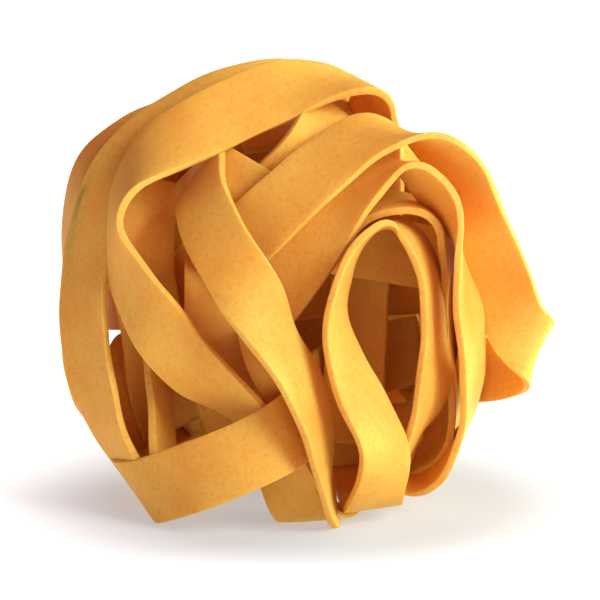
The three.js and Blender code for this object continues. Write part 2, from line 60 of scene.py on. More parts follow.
# Over the top, round the upper left corner and down across the front.
overTheTop = {
    "width": 9.3,
    "stations": [
        (6.6, 12, 11.8, 8, 1, -3),
        (7.2, 24, 11.4, 8, 1, -3),
        (7.9, 36, 11.8, 8, 0, -4),
        (10.2, 48, 10.4, 7.4, 0, -5),
        (9.8, 55.5, 8.6, 7.4, 0.4, -5),
        (9.6, 59.8, 6.6, 6, 0.6, -6.6),
        (10, 63, 3.6, 1.8, 0, -8.8),
        (7.4, 64.2, 1.4, 0.2, -1.2, -9),
        (4, 64.4, 0, 1.4, -4.4, -7.8),
        (0, 63.8, -1.6, 2.8, -6.8, -5.2),
        (-5, 62.2, -3, 3.8, -8, -2),
        (-15, 57.4, -4.5, 3.8, -8, -2),
        (-21.5, 53.8, -5, 3.3, -6, -5.8),
        (-25.7, 49.4, -4.5, 2.4, -1.9, -8.4),
        (-27.4, 44, -4, 1.7, 0.2, -8.8),
        (-26.9, 40, -4.5, 2.9, 0.7, -8.5),
        (-24.4, 34.4, -6, 4.8, 3.7, -6.6),
        (-20.6, 28.4, -7.2, 5.9, 6, -3.6),
        (-17.5, 24.5, -7.2, 5.5, 5.8, -4.4),
        (-14.2, 21.5, -6.4, 5.2, 4.8, -5.8),
        (-10.8, 19.2, -5, 3.8, 3.6, -7.4),
        (-7.7, 16.6, -3.8, 2.6, 2.4, -8.4),
        (-5, 12.4, -2.6, 3.4, 3.4, -7.6),
        (-2.8, 7.6, -2, 5.6, 4.6, -5.2),
        (-1.4, 4.2, -1.4, 6.8, 3.4, -4.4),
        (0.2, 1.6, 0.6, 7.8, 1, -4),
        (2, 1.9, 4.6, 8, 0.4, -4),
        (4.8, 3.2, 9.5, 8, 1.2, -3),
    ],
}

# Low band at the front left, ending as the back wall of the hollow.
lowBand = {
    "width": 10,
    "backBefore": [(-9, 14, 0.84), (-15.5, 13.4, 0.85)],
    "stations": [
        (-20.5, 13, 17.5, -5, 7.3, 1),
        (-24.6, 7.4, 11, -5.5, 7, -0.5),
        (-24.2, 5.4, 4, -5, 7.4, 0),
        (-21.3, 5.9, -1, -4.3, 7.9, 0.5),
        (-17, 7.4, -5, -3.4, 8.3, 0.5),
        (-11, 9.7, -8, -3.4, 8.3, 0.5),
        (-5, 12.5, -9, -3.4, 8.3, 0.2),
        (-1.4, 14.8, -7, -3.8, 8, 0),
        (0.4, 16.5, -2.5, -3.8, 8, 0),
        (1, 17.8, 4, -2.4, 8.6, 0),
        (1.3, 19, 10, -1.6, 8.8, 0),
        (2.2, 20.6, 14.8, -1.4, 8.8, 0),
        (5, 22.2, 17.6, -1.2, 8.9, 0),
        (9.4, 23.8, 18.2, -1, 9, 0),
        (14, 25.2, 17.6, -0.6, 9, 0),
        (16.8, 25.7, 16.6, 0, 9, 0),
    ],
}

# Outer winding on the left, from the floor to the top.
leftOuter = {
    "width": 9.2,
    "stations": [
        (-8, 7.6, 16, 1, 4, -8),
        (-13, 6.2, 13, 1.6, 3, -8.3),
        (-18.5, 5.9, 9.5, 2.4, 1.2, -8.8),
        (-23.6, 7.2, 6, 3.6, -0.3, -8.3),
        (-27.4, 12, 3, 4.2, -0.5, -7.9),
        (-30, 19, 2, 5.5, 1.5, -7),
        (-31.6, 26, 2, 6.5, 0.5, -6.2),
        (-31.9, 33, 2, 6.2, 0, -6.5),
        (-31, 41, 2, 6.5, -0.7, -6.1),
        (-29, 47.8, 1.5, 6.5, -2, -5.9),
        (-25.5, 53.4, 1.8, 5.5, -4.5, -5.5),
        (-20.2, 57.4, 1.9, 4, -6.5, -4.7),
        (-14.2, 60.8, 2.2, 3.5, -7, -4.4),
        (-7.4, 63.4, 3.6, 3, -7, -4.8),
        (-0.5, 64.3, 6.6, 1, -5.4, -6.8),
        (5.8, 62.4, 10.4, -1.4, -5, -7),
        (10.6, 58.2, 15.2, -3.2, -5, -6.2),
    ],
    "backAfter": [
        (17.4, 52.6, 0.96),
        (22, 45.5, 0.98),
        (23.2, 37, 0.99),
        (20.4, 28.6, 0.98),
        (15.4, 22.4, 0.96),
    ],
}

# Second winding on the left, behind the outer one.
leftSecond = {
    "width": 9.2,
    "backBefore": [(6, 9.5, 0.93), (-2, 8.3, 0.96), (-12, 8.2, 0.99), (-21.5, 9.6, 1.03)],
    "stations": [
        (-30.4, 14.2, 15.2, 3, -3, -8),
        (-33, 20.5, 10.8, 2.4, -1, -8.6),
        (-34.2, 27, 9.6, 1.8, 0, -8.8),
        (-34.2, 34, 9, 1.6, 0, -9),
        (-34, 42, 8.6, 2, 0, -8.8),
        (-33, 48.8, 8, 2.4, -0.6, -8.7),
        (-30.6, 53, 7.4, 3.6, -3, -7.6),
        (-27, 55.4, 7.2, 4, -4, -7),
        (-22.6, 57, 7.5, 5, -5.5, -5),
        (-16, 59.4, 10, 4, -6.5, -4.7),
        (-8, 61.4, 16.5, 2, -6, -5),
        (-1.5, 60, 23, 0, -7, -4.6),
    ],
    "backAfter": [
        (1.8, 57.6, 0.98),
        (4.8, 53.6, 1),
        (8.4, 46, 0.99),
        (10.4, 37.5, 0.99),
        (11, 29, 0.98),
        (10.4, 22.5, 0.97),
    ],
}

# Long diagonal at the front, turning edge-on at its foot.
longDiagonal = {
    "width": 9.3,
    "stations": [
        (-13.6, 55.4, 2.6, 1.8, 0.3, -8.8),
        (-14.3, 52.4, -0.8, 2.2, 0.6, -8.4),
        (-15, 48.5, -5.2, 5.5, 1.5, -6.8),
        (-14.2, 44.5, -8.6, 7.4, 3.1, -4.2),
        (-11.9, 40, -11.5, 7.2, 4, -3),
        (-9, 35.5, -13, 7.3, 4, -1),
        (-6.2, 30.5, -13.5, 6, 3.3, 4.6),
        (-3.3, 25.5, -13.2, 4.9, 2.6, 6.8),
        (0, 20, -11.5, 4.7, 2.3, 7.2),
        (1.9, 15, -9, 3.7, 0.8, 8),
        (2.7, 10, -6.4, 2.2, 0, 8.7),
        (2.9, 7.2, -4.6, 1, 1.2, 8.7),
        (3.2, 5.2, -2.2, 0.4, 3, 8.2),
        (3.8, 4.6, 1.6, 0.2, 4.6, 7),
    ],
}

# Arch on the right, folded at the corner and carried round the back.
rightArch = {
    "width": 9.3,
    "stations": [
        (-12.3, 38.2, -5.2, -5.6, 6.5, 2),
        (-7.3, 42.7, -7.5, -5.8, 6.3, 2.5),
        (-2.6, 47.3, -9.5, -6.1, 6, 3.2),
        (2.4, 51.7, -9.5, -5.8, 5.6, 4.2),
        (6.7, 55.1, -8.5, -5.2, 5.3, 5.2),
        (10.8, 57, -7, -3.4, 4.6, 7),
        (15.2, 56.2, -5.2, -2.2, 0.6, 8.6),
        (18.4, 54.4, -4.4, -3, -3.6, 7.6),
        (21.6, 51.8, -3.4, -4.8, -3.4, 7),
        (23.6, 47.6, -2, -6.2, -2.2, 6),
        (25.1, 42, -1.5, -7.4, -3, 4.1),
        (27.4, 37, -1, -7, -3.9, 4.3),
        (29, 32.4, -0.6, -7.5, -3.4, 3.8),
        (29.4, 29.8, -0.8, -7.1, -4.5, 3.9),
        (32, 26.8, 0.2, -4.4, -7.2, 0.6),
        (33.4, 25.3, 2.6, -4.2, -7.6, -3),
        (31.4, 24.3, 5.2, -0.8, -8.8, -1.2),
        (29.6, 23.6, 7, 2.4, -8.6, 0),
        (27.4, 23, 9.4, 2, -8.7, 0),
        (26.4, 22.7, 15, 1, -8.8, -0.6),
    ],
    "backAfter": [
        (25.4, 22.2, 1.01),
        (20, 19.4, 1.02),
        (12, 18, 1.02),
        (3, 17.2, 1.01),
        (-7, 16.8, 1),
        (-16, 16.6, 0.99),
        (-24, 16.8, 0.96),
    ],
}

# Big loop round the hollow.
bigLoop = {
    "width": 9.2,
    "stations": [
        (-17, 20, 5, -6, 6.8, 2),
        (-11, 26, 1.8, -6, 6.8, 2),
        (-4.5, 33.5, -2.6, -6.5, 6.3, 1.5),
        (1.3, 41.3, -5.6, -7.2, 4.4, 3.2),
        (5.8, 47.2, -6, -6, 3.5, 5.7),
        (10.6, 51.8, -5.7, -3.5, 3, 7.7),
        (14.2, 52.7, -5, -2.4, 0.4, 8.6),
        (16.8, 49.8, -4, -3.6, -2.4, 7.8),
        (19.5, 46.3, -3.2, -3, -2.2, 8.2),
        (21.5, 43, -3, -1, -1, 8.9),
        (21.8, 39, -3, 0.5, 0, 9),
        (22.6, 34.5, -3.2, 2.7, 0.5, 8.4),
        (23.4, 30, -3, 4, 1, 8),
        (23.9, 24.5, -2, 3, 0.7, 8.4),
        (23.6, 19, 0, 2.2, 0.5, 8.7),
        (22.7, 14.2, 2.6, 1, 1, 8.8),
        (20.2, 10, 5.6, -1.2, 2.6, 8.4),
        (17, 7.4, 9.2, -1, 3.4, 8.2),
        (13.8, 8.4, 12.8, -0.8, 1.6, 8.6),
    ],
}

# Teardrop loop inside the big loop.
innerLoop = {
    "width": 8.8,
    "backBefore": [
        (-18, 50.5, 0.92),
        (-11.5, 47, 0.94),
        (-4.5, 41.6, 0.94),
        (0.8, 35, 0.94),
        (4, 27, 0.93),
        (6.2, 18.5, 0.92),
        (7.6, 11.4, 0.9),
    ],
    "stations": [
        (8.4, 6, 12.5, 8.3, 1, 0),
        (9.2, 4.4, 7.5, 8.5, 0.5, 1),
        (9.5, 3.2, 2, 8, 1.2, 3),
        (9.9, 4.7, -2.3, 7.3, 0.3, 5),
        (11, 8, -5.2, 6.8, -0.3, 5.9),
        (10.8, 12.7, -8, 6.3, 1.5, 6.2),
        (8.5, 17.5, -9.5, 5.6, 2.8, 6.4),
        (6, 23, -10, 4.9, 2.2, 7.1),
        (4.5, 28, -9.5, 3.7, 0.8, 8),
        (4.5, 33, -8.5, 1.9, 0, 8.7),
        (5.7, 37.1, -7, 1.2, -0.1, 8.8),
        (8, 41.3, -4.6, 0.8, 0.8, 8.8),
        (11.4, 44.3, -2, 0.6, 1.8, 8.8),
        (14.6, 42.6, -1.8, 2, 1.8, 8.4),
        (17, 38.6, -1.6, 3.2, 0.8, 8.3),
        (18.2, 34, -1.8, 2.8, 0, 8.5),
        (18.3, 28, -2.2, 3.2, 0, 8.2),
        (18.2, 23, -2.4, 4.2, 0.2, 7.8),
        (17.8, 18.6, -2, 4.6, 1, 7.4),
        (15.9, 14.4, -0.6, 2.6, 2, 8.4),
        (14.5, 10.8, 2.8, 1.3, 1, 8.9),
        (13.8, 9.4, 7.6, 1.6, 1.6, 8.6),
    ],
}

# Band behind the arch, from the top down to the left.
behindArch = {
    "width": 9.4,
    "stations": [
        (4.6, 60.2, 3, 6, -3.4, 3),
        (2.2, 56.6, -2.6, 6, -4, 4.4),
        (0, 52.8, -3.6, 6, -4.4, 4),
        (-3.4, 49.2, -2.6, 6.4, -5, 2.5),
        (-9.5, 43.5, 2, 6.5, -6, 2),
        (-15, 37, 7.5, 6.5, -6, 2),
        (-19, 30, 12, 6.5, -6, 2),
    ],
}

# Band behind the diagonal, right across the top of the hollow.
acrossHollow = {
    "width": 9.2,
    "stations": [
        (-13.7, 51, -2.4, 3.6, 8, 0.5),
        (-11.4, 49.7, -3.6, 3.6, 8, 0.5),
        (-8, 47.6, -4.9, 3.6, 8, 0.5),
        (-4, 45.2, -4.8, 3.6, 8, 0.5),
        (0.3, 42.8, 0.2, 3.4, 8.2, 0.5),
        (4.2, 41, 5.6, 2, 8.6, 0.5),
        (10, 40.3, 8.4, 0.8, 9, 0.5),
        (16, 39.3, 9, 0.8, 9, 0.5),
        (23, 38, 10.5, 1, 9, 0.5),
    ],
}

# Inner band on the left.
innerLeft = {
    "width": 9.2,
    "stations": [
        (-19.5, 14, 11.5, 6.4, 1.5, 3),
        (-21.5, 21, 8.6, 6.6, 1.2, 2.4),
        (-22, 28, 6.2, 6.8, 0.8, 1.6),
        (-23.4, 36, 4.6, 7, 0, 1.4),
        (-23.4, 44, 4.4, 7, -0.5, 1.6),
        (-22.4, 50.5, 5.6, 6.6, -1.6, 2.6),
    ],
}

# Upright band with a folded end, behind the diagonal.
uprightFold = {
    "width": 9.2,
    "stations": [
        (-8.6, 9.5, 13, 8, 2, -1),
        (-10.2, 15.5, 8, 8.5, 1.5, -1),
        (-12, 22, 0.4, 9, 0.6, -1),
        (-12.7, 30, -2.8, 9, 0, 0),
        (-12.7, 35.5, -2.9, 9, 0, 0),
        (-12.7, 38, -1.2, 9, 0, 0),
        (-12.5, 38.6, 2.3, 9, 0, 0),
    ],
}

# Second arch, just inside the big loop.
secondArch = {
    "width": 9,
    "stations": [
        (5, 43.2, 1.2, -3, 2.6, 7.6),
        (7.2, 45.2, 0.6, -1.6, 2.6, 8.2),
        (10.3, 46.4, 0.2, -0.3, 2.7, 8.6),
        (14.6, 46.8, 0, 0.3, 2.4, 8.7),
        (18.7, 45.2, 0.6, 2, 1, 8.8),
        (20.6, 40, 3.2, 2.2, 0, 8.7),
        (20.8, 33, 5.4, 2, 0, 8.8),
        (20.9, 25, 6.2, 2, 0.4, 8.8),
        (21.3, 17.6, 7, 1, 1, 8.8),
        (20.2, 12.8, 8.8, -1.4, 3, 8.2),
        (16.2, 10.4, 12.4, -0.9, 4, 7.8),
    ],
}

# Short upright low on the left.
lowUpright = {
    "width": 8.8,
    "stations": [
        (-21.4, 23.4, 5.4, 2.6, 0, 8.4),
        (-20.8, 17.5, 3.4, 2.6, 0, 8.4),
        (-20.4, 11, 2.4, 2.8, 0.5, 8.3),
        (-19.8, 7.4, 4, 3.4, 1.4, 8),
    ],
}

# Band behind the outer winding, low on the left.
leftBehind = {
    "width": 8.8,
    "stations": [
        (-23.6, 11.5, 11, 8.4, 1.5, 3),
        (-24.6, 15, 9.6, 8.4, 0.8, 3.2),
        (-25.2, 19.5, 9.2, 8.4, 0.4, 3.4),
        (-25, 23.6, 10.4, 8.2, -1.4, 3.6),
        (-23.4, 25.8, 14.6, 8.2, -1.6, 3.6),
        (-22.2, 26, 16.8, 8, -1.2, 4.4),
    ],
}

# Across the back of the hollow, higher up.
hollowBack = {
    "width": 9.2,
    "stations": [
        (-18.5, 30.6, 11.6, -1.4, 8.8, 0),
        (-12, 32.6, 15.6, -1, 9, 0),
        (-5, 34, 19, -0.4, 9, 0),
        (1, 34.8, 20.6, 0, 9, 0),
        (8, 35.2, 20.8, 0, 9, 0),
        (14, 35.2, 19.4, 0, 9, 0),
        (19.4, 35.6, 15.6, 0.4, 9, 0),
        (23.2, 36.8, 10.6, 0.6, 9, 0),
    ],
}

# A narrow scrap caught behind the diagonal.
crumple = {
    "width": 4.6,
    "stations": [
        (-7.6, 29.4, -4.6, 3.4, 1.4, 1),
        (-7.2, 26.6, -5.4, 3.6, 1, -0.6),
        (-6.2, 23.4, -6.2, 3.8, 1, 0.4),
        (-4.6, 20.6, -5.2, 3.6, 2, -0.6),
        (-2.8, 18.6, -3.4, 3.4, 2.4, 0.6),
    ],
}

# Low across the back of the hollow.
hollowFloor = {
    "width": 9.2,
    "stations": [
        (3, 13.2, 18.4, 0, 9, -1),
        (9.6, 13.4, 18.6, 0, 9, -1),
        (14.6, 13, 17.4, -0.6, 9, 0),
        (19.4, 14.8, 14.6, -1, 9, 0.4),
        (21.4, 15.2, 13.2, -1, 9, 0.6),
    ],
}

# Upright on the right, between the big loop and the back.
rightBehind = {
    "width": 8.8,
    "stations": [
        (20, 54, 10, 4, 4, 7),
        (23, 48.5, 6.6, 4.4, 2.2, 7.4),
        (24, 42, 5.6, 4.4, 0.6, 7.8),
        (24.2, 34, 6.4, 3.4, 0, 8.2),
        (23.8, 26, 8.6, 3, 0, 8.3),
        (22.9, 19.4, 11.4, 2.8, -0.6, 8.3),
        (22, 14.8, 12.8, 2.4, -0.8, 8.4),
    ],
}

windings = {
    "overTheTop": overTheTop,
    "lowBand": lowBand,
    "leftOuter": leftOuter,
    "leftSecond": leftSecond,
    "longDiagonal": longDiagonal,
    "rightArch": rightArch,
    "bigLoop": bigLoop,
    "innerLoop": innerLoop,
    "behindArch": behindArch,
    "acrossHollow": acrossHollow,
    "innerLeft": innerLeft,
    "uprightFold": uprightFold,
    "secondArch": secondArch,
    "lowUpright": lowUpright,
    "leftBehind": leftBehind,
    "hollowBack": hollowBack,
    "crumple": crumple,
    "hollowFloor": hollowFloor,
    "rightBehind": rightBehind,
}

# Coils at the back: shell, bearing seen from the front, offset from the middle,
# sideways wander and its phase, start and end, in degrees.
coilShape = {
    "width": 9.2,
    "stations": 15,
    "tuck": 0.1,                            # share of the shell that the ends sink in
    "tuckPower": 12,                        # the higher, the nearer to the ends
    "nudge": 0.01,                          # radians, to find the way ahead
    "firstSeed": 100,
}
backCoils = [
    {"shell": 0.885, "bearing": 12, "offset": 0.24, "wander": 0.05, "phase": 80, "from": -12, "to": 186},
    {"shell": 0.885, "bearing": 12, "offset": -0.26, "wander": 0.05, "phase": 80, "from": -10, "to": 198},
    {"shell": 0.885, "bearing": 12, "offset": -0.72, "wander": 0.04, "phase": 80, "from": 4, "to": 178},
    {"shell": 0.84, "bearing": 70, "offset": -0.46, "wander": 0.06, "phase": 200, "from": -22, "to": 176},
    {"shell": 0.84, "bearing": 66, "offset": 0.12, "wander": 0.07, "phase": 40, "from": -10, "to": 180},
    {"shell": 0.795, "bearing": 122, "offset": 0.45, "wander": 0.06, "phase": 20, "from": 0, "to": 170},
    {"shell": 0.795, "bearing": 122, "offset": -0.25, "wander": 0.08, "phase": 20, "from": -4, "to": 158},
    {"shell": 0.75, "bearing": 152, "offset": 0.05, "wander": 0.1, "phase": 40, "from": -6, "to": 186},
    {"shell": 0.705, "bearing": 40, "offset": -0.25, "wander": 0.08, "phase": 10, "from": 0, "to": 180},
    {"shell": 0.66, "bearing": 95, "offset": 0.2, "wander": 0.08, "phase": 10, "from": 4, "to": 150},
]

# Which ribbons make up each piece: the front, the flanks and hollow, and the back.
pieceMembers = {
    "faceRibbons": ["overTheTop", "lowBand", "longDiagonal", "rightArch", "bigLoop", "innerLoop"],
    "sideRibbons": ["leftOuter", "leftSecond", "leftBehind", "rightBehind", "hollowFloor", "hollowBack",
                    "crumple", "behindArch", "acrossHollow", "innerLeft", "uprightFold", "secondArch",
                    "lowUpright"],
    "backRibbons": ["coil%d" % number for number in range(len(backCoils))],
}

# The back is wound on shells nested in one egg: 1 is the outermost shell.
egg = {"centre": (-1.5, 33, 13), "radii": (31, 31, 24.5)}
eggCentre = np.array(egg["centre"], float)
eggRadii = np.array(egg["radii"], float)


# Unit vector along the last axis: v over its length.
def unit(v):
    return v / np.linalg.norm(v, axis=-1, keepdims=True)


# Rows of across, up and shell size, put on the back of their shell:
# deep = centre + radius * sqrt(shell^2 - across'^2 - up'^2), all measured in radii.
def onShell(rows):
    rows = np.array(rows, float)
    flat = (rows[:, :2] - eggCentre[:2]) / eggRadii[:2]
    deep = np.sqrt(rows[:, 2] ** 2 - (flat ** 2).sum(axis=1))
    return np.column_stack([rows[:, :2], eggCentre[2] + eggRadii[2] * deep])


# Adds a run over the back to the end of some stations. Its width lies in the shell,
# square to the run, and keeps to the side that the last station has it on: each
# width is turned by the product of all the changes of side so far.
def carriedOn(stations, rows):
    points = np.vstack([stations[-1, :3], onShell(rows)])
    ahead = np.vstack([points[2:], points[-1:]]) - points[:-1]
    outward = (points[1:] - eggCentre) / eggRadii ** 2
    width = unit(np.cross(outward, ahead))
    before = np.vstack([stations[-1:, 3:], width[:-1]])
    width *= np.cumprod(np.copysign(1, (width * before).sum(axis=1)))[:, None]
    return np.vstack([stations, np.hstack([points[1:], width])])


# All stations of a winding, with the back runs before its first and after its last one.
def allStations(winding):
    stations = np.array(winding["stations"], float)
    stations[:, 3:] = unit(stations[:, 3:])
    if "backAfter" in winding:
        stations = carriedOn(stations, winding["backAfter"])
    if "backBefore" in winding:
        stations = carriedOn(stations[::-1], winding["backBefore"][::-1])[::-1]
    return stations


# Stations of a coil: a circle cut from its shell at an offset from the middle, that
# wanders sideways as it goes round, with both ends tucked in a little.
def coilStations(coil):
    share = np.linspace(0, 1, coilShape["stations"])
    angle = np.radians(coil["from"] + (coil["to"] - coil["from"]) * share)
    bearing = math.radians(coil["bearing"])
    along = np.array([math.cos(bearing), math.sin(bearing), 0.0])
    deep = np.array([0.0, 0.0, 1.0])
    side = np.cross(along, deep)

    def onUnit(t):
        height = coil["offset"] + coil["wander"] * np.sin(2 * t + math.radians(coil["phase"]))
        reach = np.sqrt(1 - height ** 2)
        return (height[:, None] * side + (reach * np.cos(t))[:, None] * along
                + (reach * np.sin(t))[:, None] * deep)

    spot = onUnit(angle)
    nudge = coilShape["nudge"]
    ahead = (onUnit(angle + nudge) - onUnit(angle - nudge)) * eggRadii
    width = unit(np.cross(spot / eggRadii, ahead))
    tuck = 1 - coilShape["tuck"] * np.abs(2 * share - 1) ** coilShape["tuckPower"]
    return np.hstack([eggCentre + spot * eggRadii * (coil["shell"] * tuck)[:, None], width])


# Centripetal Catmull-Rom curve: each stretch between two stations is blended from
# straight lines through four of them, timed by the square root of their distances.
def curveThrough(rows, pieces=16):
    ends = np.vstack([2 * rows[0] - rows[1], rows, 2 * rows[-1] - rows[-2]])
    p0, p1, p2, p3 = (ends[k:len(ends) - 3 + k, None] for k in range(4))

    def gap(a, b):
        return np.sqrt(np.linalg.norm((b - a)[..., :3], axis=-1, keepdims=True))

    def between(a, b, ta, tb, t):
        return a + (b - a) * (t - ta) / (tb - ta)

    t0 = 0.0
    t1 = gap(p0, p1)
    t2 = t1 + gap(p1, p2)
    t3 = t2 + gap(p2, p3)
    t = t1 + (t2 - t1) * (np.arange(pieces) / pieces)[None, :, None]
    a1 = between(p0, p1, t0, t1, t)
    a2 = between(p1, p2, t1, t2, t)
    a3 = between(p2, p3, t2, t3, t)
    b1 = between(a1, a2, t0, t2, t)
    b2 = between(a2, a3, t1, t3, t)
    return np.vstack([between(b1, b2, t1, t2, t).reshape(-1, rows.shape[1]), rows[-1:]])


# The same path with its points an even step apart, by length along it.
def evenly(path, step):
    reach = np.r_[0, np.cumsum(np.linalg.norm(np.diff(path[:, :3], axis=0), axis=1))]
    goals = np.linspace(0, reach[-1], max(4, round(reach[-1] / step)) + 1)
    return np.column_stack([np.interp(goals, reach, column) for column in path.T])


# Eased path: each point drawn to the mean of its neighbours, several times over.
def eased(path, passes):
    for _ in range(passes):
        path = np.vstack([path[:1], (path[:-2] + 2 * path[1:-1] + path[2:]) / 4, path[-1:]])
    return path


# Face frame to standing frame: a turn about the across axis by the lean.
def leaned(points):
    lean = math.radians(stance["leanBack"])
    across, up, deep = points[..., 0], points[..., 1], points[..., 2]
    return np.stack([across, up * math.sin(lean) + deep * math.cos(lean),
                     up * math.cos(lean) - deep * math.sin(lean)], axis=-1)


# How the dough was rolled, cut and dried, in millimetres where nothing else is said.
ribbon = {
    "thickness": 1.1,
    "edgeRound": 0.18,
    "pointsAcross": 9,
    "pointsRound": 2,                       # on each rounded corner
    "fineStep": 1.0,                        # step while the path is eased
    "easePasses": 8,
    "stepAlong": 0.75,
    "ruffle": 0.16,                         # how far the edges wave out of the face
    "ruffleLength": 16.0,
    "cupping": 0.08,                        # how far the face bows
    "widthDrift": 0.012,                    # as a share of the width
    "thicknessDrift": 0.05,                 # as a share of the thickness
    "cupLength": 2.4,                       # these three waves in ruffle lengths
    "widthLength": 1.3,
    "thicknessLength": 0.8,
    "sineLengths": (1.0, 0.61, 1.7),        # of the three sines in each wave
    "settle": 6,                            # run at each end where the ruffle fades in
    "uvStretch": 10,
}


# Outline of the ribbon's section, once round: x from -1 to 1 across, y from -1 to 1
# through it, and its corners as quarter circles. Also gives 1 where the cut edge is.
def ribbonSection(width):
    rounding = ribbon["edgeRound"]
    flat = width / 2 - rounding
    rise = ribbon["thickness"] / 2 - rounding
    row = np.linspace(-flat, flat, ribbon["pointsAcross"])
    turn = np.linspace(0, math.pi / 2, ribbon["pointsRound"] + 2)[1:-1]
    corner = np.column_stack([np.sin(turn), np.cos(turn)]) * rounding
    edge = np.array([[width / 2, rise], [width / 2, 0], [width / 2, -rise]])
    right = np.vstack([[flat, rise] + corner, edge, [flat, -rise] + corner[::-1] * [1, -1]])
    top = np.column_stack([row, np.full_like(row, ribbon["thickness"] / 2)])
    outline = np.vstack([top, right, -top, -right])
    cut = np.r_[np.zeros(len(top)), np.ones(len(right)), np.zeros(len(top)), np.ones(len(right))]
    return outline, cut


# One ribbon: the section carried along its path. Edges wave in and out of the face,
# the face cups a little, and width and thickness drift, each a few sines along the path.
def windRibbon(stations, width, seed):
    drift = np.random.default_rng(seed)
    path = eased(evenly(curveThrough(stations), ribbon["fineStep"]), ribbon["easePasses"])
    path = evenly(path, ribbon["stepAlong"])
    centre = path[:, :3]
    along = unit(np.gradient(centre, axis=0))
    across = path[:, 3:] - (path[:, 3:] * along).sum(axis=1)[:, None] * along
    across = unit(across)
    face = np.cross(along, across)
    length = np.arange(len(path)) * ribbon["stepAlong"]

    def sway(reach):
        phase = drift.uniform(0, 2 * math.pi, len(ribbon["sineLengths"]))
        waves = [np.sin(2 * math.pi * length / (reach * k) + p)
                 for k, p in zip(ribbon["sineLengths"], phase)]
        return np.sum(waves, axis=0)[:, None] / 2

    outline, cut = ribbonSection(width)
    x, y = outline[:, 0][None], outline[:, 1][None]
    side = x / (width / 2)
    settle = np.minimum(1, np.minimum(length, length[-1] - length) / ribbon["settle"])[:, None]
    reach = ribbon["ruffleLength"]
    wave = ribbon["ruffle"] * settle * (np.clip(side, 0, 1) ** 2 * sway(reach)
                                        + np.clip(-side, 0, 1) ** 2 * sway(reach))
    cup = ribbon["cupping"] * (1 - side ** 2) * sway(reach * ribbon["cupLength"])
    wide = x * (1 + ribbon["widthDrift"] * sway(reach * ribbon["widthLength"]))
    thick = y * (1 + ribbon["thicknessDrift"] * sway(reach * ribbon["thicknessLength"])) + wave + cup
    points = centre[:, None] + wide[..., None] * across[:, None] + thick[..., None] * face[:, None]
    girth = np.cumsum(np.r_[0, np.linalg.norm(np.diff(outline, axis=0), axis=1)])
    uv = np.stack(np.broadcast_arrays(length[:, None], girth[None]), axis=-1)
    return leaned(points), uv, np.broadcast_to(cut, points.shape[:2])


# An object of its own, in the scene.
def newObject(name, data):
    made = bpy.data.objects.new(name, data)
    bpy.context.scene.collection.objects.link(made)
    return made


# Joins ribbons into one mesh: quads between neighbouring sections, an end cap on each.
def ribbonMesh(name, ribbons, shift):
    points, faces, uvs, cuts = [], [], [], []
    first = 0
    for grid, uv, cut in ribbons:
        rows, around = grid.shape[:2]
        k = np.arange(around)
        step = first + np.arange(rows - 1)[:, None] * around
        quad = np.stack([step + k, step + (k + 1) % around,
                         step + around + (k + 1) % around, step + around + k], axis=-1)
        faces += quad.reshape(-1, 4)[:, ::-1].tolist()
        faces += [list(range(first, first + around)),
                  list(range(first + rows * around - 1, first + (rows - 1) * around - 1, -1))]
        points.append(grid.reshape(-1, 3))
        uvs.append(uv.reshape(-1, 2))
        cuts.append(cut.reshape(-1))
        first += rows * around
    spots = np.vstack(points) + shift
    spots[:, 2] = np.maximum(spots[:, 2], 0)       # the foot is pressed flat on what it stands on
    mesh = bpy.data.meshes.new(name)
    mesh.from_pydata((spots * millimetre).tolist(), [], faces)
    mesh.shade_smooth()
    corner = np.empty(len(mesh.loops), np.int32)
    mesh.loops.foreach_get("vertex_index", corner)
    layer = mesh.uv_layers.new(name="alongRibbon")
    spread = np.vstack(uvs)[corner] * millimetre * ribbon["uvStretch"]
    layer.uv.foreach_set("vector", spread.astype(np.float32).ravel())
    edge = mesh.attributes.new("cutEdge", "FLOAT", "POINT")
    edge.data.foreach_set("value", np.concatenate(cuts).astype(np.float32))
    mesh.update()
    return newObject(name, mesh)


# Every ribbon as a grid of points, each with a seed of its own.
def nestRibbons():
    grids = {}
    for number, (name, winding) in enumerate(windings.items()):
        grids[name] = windRibbon(allStations(winding), winding["width"], number)
    for number, coil in enumerate(backCoils):
        seed = coilShape["firstSeed"] + number
        grids["coil%d" % number] = windRibbon(coilStations(coil), coilShape["width"], seed)
    return grids


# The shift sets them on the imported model: middle on middle across and deep, and the
# flat spot on the floor.
wound = nestRibbons()
every = np.vstack([grid.reshape(-1, 3) for grid, _, _ in wound.values()])
packedMiddle = np.array((packedBox[0] + packedBox[1]) / 2) / millimetre
shift = packedMiddle - (every.max(axis=0) + every.min(axis=0)) / 2
shift[2] = -stance["flatSpot"]
print("wound", len(wound), "ribbons, shift", np.round(shift, 2))


# A node with its settings, then its inputs: a socket is linked, anything else is set.
def addNode(tree, kind, inputs=None, **settings):
    node = tree.nodes.new(kind)
    for key, value in settings.items():
        setattr(node, key, value)
    for key, value in (inputs or {}).items():
        if isinstance(value, bpy.types.NodeSocket):
            tree.links.new(value, node.inputs[key])
        else:
            node.inputs[key].default_value = value
    return node


